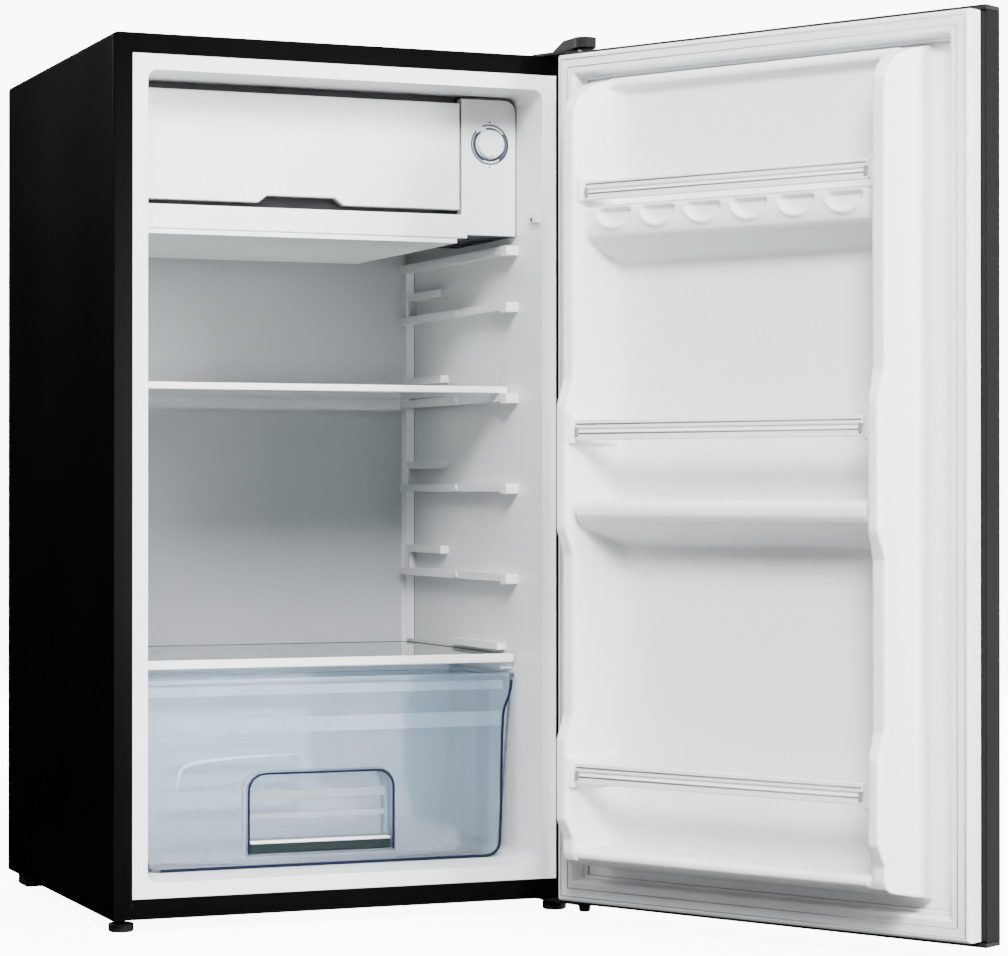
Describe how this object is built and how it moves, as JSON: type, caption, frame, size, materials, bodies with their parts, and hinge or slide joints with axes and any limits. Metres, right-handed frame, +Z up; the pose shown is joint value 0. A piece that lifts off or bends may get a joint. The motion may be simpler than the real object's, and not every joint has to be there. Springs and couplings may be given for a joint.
{
  "type": "compact refrigerator",
  "caption": "Compact black refrigerator standing with its door open, with a freezer box under a lift-up flap, a glass shelf, a clear drawer and moulded door racks.",
  "frame": {"origin": "middle of the base of everything at rest, with the door open, at the height of the feet", "axes": "+Z up, -Y out of the front of the cabinet, +X towards the side that the door is hinged on"},
  "size_m": [0.687, 0.895, 0.8593],
  "materials": {
    "black_steel": "satin",
    "zinc_steel": "satin",
    "screw_steel": "satin",
    "hinge_steel": "satin",
    "foam": "matte",
    "white_liner": "satin",
    "white_plastic": "satin",
    "black_plastic": "matte",
    "evaporator_sheet": "satin",
    "compressor_paint": "gloss",
    "copper": "satin",
    "black_rubber": "matte",
    "white_rubber": "matte",
    "clear_plastic": "gloss",
    "shelf_glass": "gloss"
  },
  "bodies": {
    "cabinet": {"outer_shell": "black_steel", "back_panel": "black_steel", "back_screw_1": "screw_steel", "back_screw_2": "screw_steel", "base_pan": "zinc_steel", "front_bottom_rail": "black_steel", "cabinet_foam": "foam", "inner_liner": "white_liner", "mouth_plug": "white_plastic", "compressor_tray": "zinc_steel", "compressor": "compressor_paint", "start_relay": "black_plastic", "compressor_grommet_1": "black_rubber", "compressor_grommet_2": "black_rubber", "compressor_grommet_3": "black_rubber", "compressor_grommet_4": "black_rubber", "condenser_coil": "copper", "filter_drier": "copper", "capillary_tube": "copper", "suction_line": "copper", "evaporation_pan": "black_plastic", "drain_tube": "black_plastic", "cord_gland": "black_plastic", "evaporator": "evaporator_sheet", "thermostat_housing": "white_plastic", "thermostat_control": "white_plastic", "sensor_tube": "copper", "upper_hinge": "hinge_steel", "upper_hinge_screw_1": "screw_steel", "upper_hinge_screw_2": "screw_steel", "hinge_cover": "black_plastic", "lower_hinge": "hinge_steel", "lower_hinge_screw_1": "screw_steel", "lower_hinge_screw_2": "screw_steel", "rear_foot_left": "black_plastic", "rear_foot_right": "black_plastic"},
    "door": {"door_skin": "black_steel", "door_foam": "foam", "door_liner": "white_liner", "door_gasket": "white_rubber", "door_cap_top": "black_plastic", "door_cap_bottom": "black_plastic", "hinge_bush_top": "black_plastic", "hinge_bush_bottom": "black_plastic", "rack_rail_top": "white_plastic", "rack_rail_middle": "white_plastic", "rack_rail_bottom": "white_plastic"},
    "freezer_flap": {"freezer_door": "white_plastic"},
    "drip_tray": {"drip_tray": "white_plastic"},
    "shelf": {"shelf_glass": "shelf_glass", "shelf_trim": "white_plastic"},
    "crisper_lid": {"crisper_lid_glass": "shelf_glass", "crisper_lid_trim": "white_plastic"},
    "crisper_drawer": {"crisper_drawer": "clear_plastic"},
    "thermostat_knob": {"thermostat_knob": "white_plastic"},
    "front_foot_left": {"front_foot_left": "black_plastic"},
    "front_foot_right": {"front_foot_right": "black_plastic"}
  },
  "joints": [
    {"name": "door_hinge", "type": "hinge", "parent": "cabinet", "child": "door", "pos_m": [0.11949, -0.02654, 0.413], "axis": [0, 0, 1], "range_deg": [-118.5, 16.5]},
    {"name": "freezer_flap_hinge", "type": "hinge", "parent": "cabinet", "child": "freezer_flap", "pos_m": [-0.136, 0.08846, 0.799], "axis": [-1, 0, 0], "range_deg": [0, 90]},
    {"name": "drip_tray_slide", "type": "slide", "parent": "cabinet", "child": "drip_tray", "axis": [0, -1, 0], "range_m": [0, 0.15]},
    {"name": "shelf_slide", "type": "slide", "parent": "cabinet", "child": "shelf", "axis": [0, -1, 0], "range_m": [0, 0.12]},
    {"name": "crisper_lid_slide", "type": "slide", "parent": "cabinet", "child": "crisper_lid", "axis": [0, -1, 0], "range_m": [0, 0.115]},
    {"name": "crisper_drawer_slide", "type": "slide", "parent": "cabinet", "child": "crisper_drawer", "axis": [0, -1, 0], "range_m": [0, 0.115]},
    {"name": "thermostat_turn", "type": "hinge", "parent": "cabinet", "child": "thermostat_knob", "pos_m": [0.06349, 0.07946, 0.764], "axis": [0, -1, 0], "range_deg": [0, 290]},
    {"name": "front_foot_left_turn", "type": "hinge", "parent": "cabinet", "child": "front_foot_left", "pos_m": [-0.32901, 0.03946, 0.005], "axis": [0, 0, 1], "continuous": true},
    {"name": "front_foot_right_turn", "type": "hinge", "parent": "cabinet", "child": "front_foot_right", "pos_m": [0.11149, 0.03046, 0.005], "axis": [0, 0, 1], "continuous": true}
  ]
}
